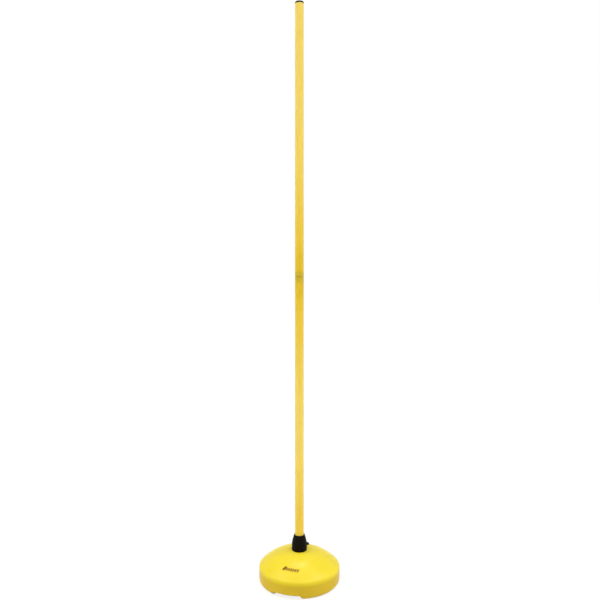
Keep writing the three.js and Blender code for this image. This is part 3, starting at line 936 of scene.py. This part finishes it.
strokes = grown(
    printed_stroke_tree(),
    strokes=MARK_STROKES,
    row_length=MARK_LENGTH * MM,
    height=MARK_HEIGHT * MM,
    width=MARK_WIDTH * MM,
    slant=MARK_SLANT,
    fall=MARK_FALL,
    shift=MARK_SHIFT * MM,
    first=MARK_FIRST_SCALE,
    distance=MARK_DISTANCE * MM,
    ball_radius=DOME_RADIUS * MM,
    ball_centre=DOME_CENTRE * MM,
    ink=MARK_INK * MM,
    coat=INK,
)
piece("front_mark_strokes", strokes, "base", INK, "collar_plastic")

plug_low = SEAT_GAP
plug_top = plug_low + PLUG_HEAD_HEIGHT
shank_end = plug_low - PLUG_SHANK_LENGTH
shank_bore = PLUG_SHANK_RADIUS - PLUG_SHANK_WALL
dish_radius = PLUG_HEAD_RADIUS - PLUG_RIM_WIDTH
plug_body = turned(rounded([
    (0, plug_low),
    (shank_bore, plug_low, FINE_ROUND),
    (shank_bore, shank_end, FINE_ROUND),
    (PLUG_SHANK_RADIUS - PLUG_SHANK_WALL / 2, shank_end, FINE_ROUND),
    (PLUG_SHANK_RADIUS, shank_end + PLUG_SHANK_WALL, SOFT_ROUND),
    (PLUG_SHANK_RADIUS, plug_low + SEAL_POCKET_DEPTH),
    (SEAL_POCKET_RADIUS, plug_low + SEAL_POCKET_DEPTH),
    (SEAL_POCKET_RADIUS, plug_low, THIN_ROUND),
    (PLUG_HEAD_RADIUS, plug_low, SLIGHT_ROUND),
    (PLUG_HEAD_RADIUS, plug_top, PLUG_EDGE_ROUND),
    (dish_radius, plug_top, EDGE_ROUND),
    (dish_radius - PLUG_DISH / 2, plug_top - PLUG_DISH, BROAD_ROUND),
    (0, plug_top - PLUG_DISH),
], steps=8))
grip_middle = plug_top - PLUG_DISH + PLUG_GRIP[2] / 2 - PLUG_GRIP_SINK
grip = block(PLUG_GRIP, (0, 0, grip_middle), EDGE_ROUND)
plug = placed(joined(plug_body, grip), filler_place())
piece("filler_plug_cap", plug, "filler", BLACK, "collar_plastic", "filler_plug")
seal = ring(SEAL_BORE, SEAL_RADIUS, SEAT_GAP, SEAT_GAP + SEAL_THICKNESS, FINE_ROUND, FINE_ROUND)
piece("filler_seal_ring", placed(seal, filler_place()), "filler", RUBBER, "seal_rubber", "filler_seal")


# The collar


THREADS = thread_tree()


def thread(radius, side, pitch, turns, bottom, coat):
    """A thread's ridge, standing out of a core (side 1) or into a bore (side -1)."""
    return grown(
        THREADS,
        radius=radius * MM,
        side=float(side),
        pitch=pitch * MM,
        turns=turns,
        bottom=bottom * MM,
        depth=THREAD_DEPTH * MM,
        sides=THREAD_SIDES,
        coat=coat,
    )


low, high = heights("neck_seal")
neck_seal = ring(SOCKET_RADIUS + SEAT_GAP, NECK_RADIUS, low, high, EDGE_ROUND, EDGE_ROUND)
piece("neck_seal_ring", neck_seal, "base", RUBBER, "seal_rubber", "neck_seal")

socket_low, stub_top = heights("pole_socket")
pole_seat = socket_low + SOCKET_FLOOR
web_top = stub_top - STUB_HEIGHT
cap_bottom = web_top - CAP_HEIGHT
socket_body = turned(rounded([
    (0, socket_low),
    (SOCKET_RADIUS, socket_low, SOCKET_END_ROUND),
    (SOCKET_RADIUS, web_top - WEB_THICKNESS, FINE_ROUND),
    (CAP_BORE, web_top - WEB_THICKNESS, FINE_ROUND),
    (CAP_BORE, cap_bottom + CAP_LIP_HEIGHT + NECK_BEAD, THIN_ROUND),
    (NECK_RADIUS + SEAT_GAP, cap_bottom + CAP_LIP_HEIGHT, THIN_ROUND),
    (NECK_RADIUS + SEAT_GAP, cap_bottom, FINE_ROUND),
    (CAP_RADIUS, cap_bottom, BROAD_ROUND),
    (CAP_TOP_RADIUS, web_top, EDGE_ROUND),
    (STUB_RADIUS, web_top, FINE_ROUND),
    (STUB_RADIUS, stub_top, SOFT_ROUND),
    (SOCKET_BORE, stub_top, SOFT_ROUND),
    (SOCKET_BORE, pole_seat, EDGE_ROUND),
    (0, pole_seat),
], steps=6), FINE_SIDES)
stub_thread_low = web_top + SEAT_GAP + CLAMP_PITCH * THREAD_ROOT_SHARE / 2
stub_thread = thread(STUB_RADIUS, 1, CLAMP_PITCH, CLAMP_TURNS, stub_thread_low, BLACK)
socket = joined(socket_body, stub_thread)
piece("pole_socket_moulding", socket, "base", BLACK, "collar_plastic", "pole_socket")

nut_low, nut_top = heights("clamp_nut")
rim_low = nut_top - NUT_RIM_HEIGHT
collet_low, collet_top = heights("clamp_collet")
nut_shoulder = collet_low + SEAT_GAP
cone_bottom = nut_shoulder + NUT_BORE - CONE_BOTTOM_RADIUS
groove_radius = CONE_TOP_RADIUS + COLLET_BEAD
groove_low = collet_top - COLLET_BEAD_HEIGHT - SEAT_GAP
nut_body = turned(rounded([
    (NUT_BORE, nut_low, FINE_ROUND),
    (CAP_TOP_RADIUS, nut_low, EDGE_ROUND),
    (NUT_TOP_RADIUS, nut_top, FOLD_ROUND),
    (SOCKET_BORE + NUT_LEAD_IN, nut_top, NUT_MOUTH_ROUND),
    (SOCKET_BORE, nut_top - NUT_LEAD_IN, FINE_ROUND),
    (SOCKET_BORE, rim_low, FINE_ROUND),
    (groove_radius, rim_low),
    (groove_radius, groove_low),
    (CONE_TOP_RADIUS, groove_low, THIN_ROUND),
    (CONE_BOTTOM_RADIUS, cone_bottom, THIN_ROUND),
    (NUT_BORE, nut_shoulder, THIN_ROUND),
], steps=6), FINE_SIDES)
nut_thread_low = web_top + SEAT_GAP + CLAMP_PITCH * (1 + THREAD_ROOT_SHARE) / 2
nut_thread = thread(NUT_BORE, -1, CLAMP_PITCH, CLAMP_TURNS - 1, nut_thread_low, BLACK)
rib_low = nut_low + RIB_START
rib_high = rim_low + RIB_PAST_RIM
cone_slope = (NUT_TOP_RADIUS - CAP_TOP_RADIUS) / (nut_top - nut_low)
ribs = grown(
    grip_rib_tree(),
    ribs=RIB_COUNT,
    bottom_radius=(CAP_TOP_RADIUS + cone_slope * (rib_low - nut_low)) * MM,
    top_radius=(CAP_TOP_RADIUS + cone_slope * (rib_high - nut_low)) * MM,
    bottom=rib_low * MM,
    top=rib_high * MM,
    rod=RIB_ROD * MM,
    proud=RIB_PROUD * MM,
    coat=BLACK,
)
piece("clamp_nut_cone", joined(nut_body, nut_thread, ribs), "nut", BLACK, "collar_plastic", "clamp_nut")

collet_body = turned(rounded([
    (SOCKET_BORE, collet_low, FINE_ROUND),
    (CONE_BOTTOM_RADIUS - SEAT_GAP, collet_low, FINE_ROUND),
    (CONE_BOTTOM_RADIUS - SEAT_GAP, cone_bottom, THIN_ROUND),
    (CONE_TOP_RADIUS - SEAT_GAP, collet_top - COLLET_BEAD_HEIGHT - SEAT_GAP, THIN_ROUND),
    (CONE_TOP_RADIUS - SEAT_GAP, collet_top - COLLET_BEAD_HEIGHT),
    (CONE_TOP_RADIUS - SEAT_GAP + COLLET_BEAD, collet_top - COLLET_BEAD_HEIGHT, NICK_ROUND),
    (CONE_TOP_RADIUS - SEAT_GAP + COLLET_BEAD, collet_top - COLLET_BEAD, NICK_ROUND),
    (CONE_TOP_RADIUS - SEAT_GAP, collet_top, NICK_ROUND),
    (SOCKET_BORE, collet_top, FINE_ROUND),
]))
slot_size = (COLLET_SLOT, COLLET_SLOT_REACH, COLLET_SLOT_REACH)
slot_cut = block(slot_size, (0, COLLET_SLOT_REACH / 2, (collet_low + collet_top) / 2))
piece("clamp_collet_sleeve", cut(collet_body, slot_cut), "collet", BLACK, "collar_plastic", "clamp_collet")


# The pole


def tube(node):
    """A tube with lightly broken edges at both ends."""
    low, high = heights(node)
    return ring(
        TUBE_BORE, POLE_RADIUS, low, high, SLIGHT_ROUND, TUBE_EDGE_ROUND, FINE_SIDES, steps=4, margin=0.6
    )


def stopper(low, high, mouth, face, edge_round, direction):
    """A cup-shaped stopper: its flange outside the tube's mouth and its open sleeve inside."""
    outside, inside = (high, low) if direction > 0 else (low, high)
    outline = rounded([
        (0, outside),
        (POLE_RADIUS, outside, edge_round),
        (POLE_RADIUS, face, SLIGHT_ROUND),
        (INSERT_RADIUS, face, NICK_ROUND),
        (INSERT_RADIUS, inside, EDGE_ROUND),
        (INSERT_RADIUS - INSERT_WALL, inside, SOFT_ROUND),
        (INSERT_RADIUS - INSERT_WALL, mouth - direction * INSERT_WALL, EDGE_ROUND),
        (0, mouth - direction * INSERT_WALL),
    ], steps=8)
    return turned(outline, FINE_SIDES)


lower_low = heights("lower_tube")[0]
upper_low, upper_high = heights("upper_tube")
lower_tube = tube("lower_tube")
upper_tube = tube("upper_tube")
pole_pieces = [
    piece("lower_tube_extrusion", lower_tube, "lower_pole", YELLOW_TUBE, "pole_plastic", "lower_tube"),
    piece("upper_tube_extrusion", upper_tube, "upper_pole", YELLOW_TUBE, "pole_plastic", "upper_tube"),
]

low, high = heights("lower_end_plug")
end_plug = stopper(low, high, lower_low, lower_low - SEAT_GAP, END_PLUG_ROUND, -1)
piece("lower_end_plug_cup", end_plug, "lower_pole", BLACK, "collar_plastic", "lower_end_plug")
low, high = heights("top_cap")
cap = stopper(low, high, upper_high, upper_high + SEAT_GAP, TOP_CAP_ROUND, 1)
piece("top_cap_cup", cap, "upper_pole", BLACK, "collar_plastic", "top_cap")

low, high = heights("joint_washer")
washer = ring(INSERT_BORE, POLE_RADIUS, low, high, THIN_ROUND, FINE_ROUND)
pole_pieces.append(piece("joint_washer_ring", washer, "washer", OLIVE, "seal_rubber", "joint_washer"))

stub_low, plug_high = heights("upper_joint_plug")
crest = INSERT_BORE - SEAT_GAP
core = crest - THREAD_DEPTH
plug_body = turned(rounded([
    (0, stub_low),
    (core, stub_low, BROAD_ROUND),
    (core, upper_low, FINE_ROUND),
    (INSERT_RADIUS, upper_low, FINE_ROUND),
    (INSERT_RADIUS, plug_high, EDGE_ROUND),
    (INSERT_BORE, plug_high, SOFT_ROUND),
    (INSERT_BORE, upper_low + INSERT_WALL, EDGE_ROUND),
    (0, upper_low + INSERT_WALL),
], steps=6))
plug_thread_low = stub_low + JOINT_PITCH * THREAD_ROOT_SHARE / 2
plug_thread = thread(core, 1, JOINT_PITCH, JOINT_TURNS, plug_thread_low, GREY)
screw = joined(plug_body, plug_thread)
piece("upper_joint_plug_screw", screw, "upper_pole", GREY, "insert_plastic", "upper_joint_plug")

low, high = heights("lower_joint_insert")
insert_body = turned(rounded([
    (INSERT_BORE, low, SOFT_ROUND),
    (INSERT_RADIUS, low, EDGE_ROUND),
    (INSERT_RADIUS, high, FINE_ROUND),
    (INSERT_BORE, high, SOFT_ROUND),
]))
insert_thread_low = stub_low + JOINT_PITCH * (1 + THREAD_ROOT_SHARE) / 2
insert_thread = thread(INSERT_BORE, -1, JOINT_PITCH, JOINT_TURNS - 1, insert_thread_low, GREY)
sleeve = joined(insert_body, insert_thread)
piece("lower_joint_insert_sleeve", sleeve, "lower_pole", GREY, "insert_plastic", "lower_joint_insert")


# The studio, in metres and degrees

CAMERA_AZIMUTH = 18.4
CAMERA_DISTANCE = 1.654
CAMERA_HEIGHT = 0.8139
CAMERA_LENS = 34.1
CAMERA_SENSOR = 36
CAMERA_SHIFT = 0.001
CAMERA_REACH = 200
WORLD_LEVEL = 0.2
FLOOR_RADIUS = 60
FLOOR_SIDES = 64
FLOOR_COLOUR = (0.75,) * 3
FLOOR_SEEN_LEVEL = 0.2
FLOOR_SEEN_COLOUR = (FLOOR_SEEN_LEVEL,) * 3
FLOOR_MARGIN = 0.04
FLOOR_ROUGHNESS = 0.9


def shown_white(tree):
    """1 for the rays of the camera and of gloss and glass, 0 for those that light things."""
    path = tree.nodes.new("ShaderNodeLightPath").outputs
    shows = maths(tree, "MAXIMUM", path["Is Camera Ray"], path["Is Glossy Ray"])
    return maths(tree, "MAXIMUM", shows, path["Is Transmission Ray"])


def pale_world():
    """An even pale surrounding that is white where it is seen."""
    world = bpy.data.worlds.new("pale_studio")
    bpy.context.scene.world = world
    world.use_nodes = True
    tree = world.node_tree
    even = tree.nodes["Background"]
    even.inputs["Color"].default_value = (1, 1, 1, 1)
    level = spread(tree, shown_white(tree), WORLD_LEVEL, 1.0, 0.0, 1.0)
    tree.links.new(level, even.inputs["Strength"])


def pale_floor(lit):
    """A wide pale floor, white where only shadows dim it, given how brightly the lamps light it."""
    mesh = bmesh.new()
    bmesh.ops.create_circle(mesh, cap_ends=True, radius=FLOOR_RADIUS, segments=FLOOR_SIDES)
    data = bpy.data.meshes.new("floor")
    mesh.to_mesh(data)
    mesh.free()
    floor = linked("floor", data)
    material, tree, shader, _ = coating("pale_floor", gloss=0.0)
    shader.inputs["Roughness"].default_value = FLOOR_ROUGHNESS
    shader.inputs["Emission Color"].default_value = (1, 1, 1, 1)
    shown = shown_white(tree)
    colour = tinted(tree, shown, FLOOR_COLOUR, FLOOR_SEEN_COLOUR)
    tree.links.new(colour, shader.inputs["Base Color"])
    glow = maths(tree, "MULTIPLY", shown, 1 + FLOOR_MARGIN - FLOOR_SEEN_LEVEL * lit)
    tree.links.new(glow, shader.inputs["Emission Strength"])
    data.materials.append(material)


def soft_sun(name, side, elevation, width, level, glossy=True, diffuse=True, receivers=None):
    """A wide soft sun to one side of the camera, for everything or for some pieces alone.
    Level is how brightly it lights what faces it. Returns how brightly it lights the floor."""
    light = bpy.data.lights.new(name, "SUN")
    light.angle = math.radians(width)
    light.energy = level * math.pi
    lamp = linked(name, light)
    lamp.visible_glossy = glossy
    lamp.visible_diffuse = diffuse
    turn = math.radians(CAMERA_AZIMUTH + side)
    rise = math.radians(elevation)
    away = Vector((math.sin(turn) * math.cos(rise), -math.cos(turn) * math.cos(rise), math.sin(rise)))
    lamp.rotation_euler = away.to_track_quat("Z", "Y").to_euler()
    if receivers:
        lit = bpy.data.collections.new(name)
        for receiver in receivers:
            lit.objects.link(receiver)
        lamp.light_linking.receiver_collection = lit
    return level * away.z if diffuse else 0


# Three suns give highlights alone, six light everything, and four light the base or the pole alone.
floor_light = sum((
    soft_sun("overhead", side=180, elevation=73, width=14, level=0.8, diffuse=False),
    soft_sun("left_glow", side=-62, elevation=57, width=26, level=0.30, diffuse=False),
    soft_sun("right_glow", side=72, elevation=57, width=26, level=0.40, diffuse=False),
    soft_sun("left_box", side=-93, elevation=57, width=22, level=0.19),
    soft_sun("right_box", side=88, elevation=53, width=22, level=0.19),
    soft_sun("left_low", side=-90, elevation=10, width=60, level=0.24, glossy=False),
    soft_sun("right_low", side=90, elevation=10, width=60, level=0.24, glossy=False),
    soft_sun("front_fill", side=0, elevation=60, width=60, level=0.54),
    soft_sun("back_fill", side=180, elevation=30, width=80, level=0.03, glossy=False),
))
for name, side in (("base_left", -90), ("base_right", 90)):
    soft_sun(name, side, elevation=10, width=60, level=0.23, glossy=False, receivers=[base_piece])
for name, side, level in (("pole_front", 0, 0.16), ("pole_back", 180, 0.20)):
    soft_sun(name, side, elevation=5, width=80, level=level, glossy=False, receivers=pole_pieces)
pale_world()
pale_floor(WORLD_LEVEL + floor_light)

turn = math.radians(CAMERA_AZIMUTH)
camera = linked("camera", bpy.data.cameras.new("camera"))
camera.location = (math.sin(turn) * CAMERA_DISTANCE, -math.cos(turn) * CAMERA_DISTANCE, CAMERA_HEIGHT)
camera.rotation_euler = (math.pi / 2, 0, turn)
camera.data.sensor_width = CAMERA_SENSOR
camera.data.lens = CAMERA_LENS
camera.data.shift_x = CAMERA_SHIFT
camera.data.clip_end = CAMERA_REACH
bpy.context.scene.camera = camera
bpy.context.scene.view_settings.view_transform = "Standard"
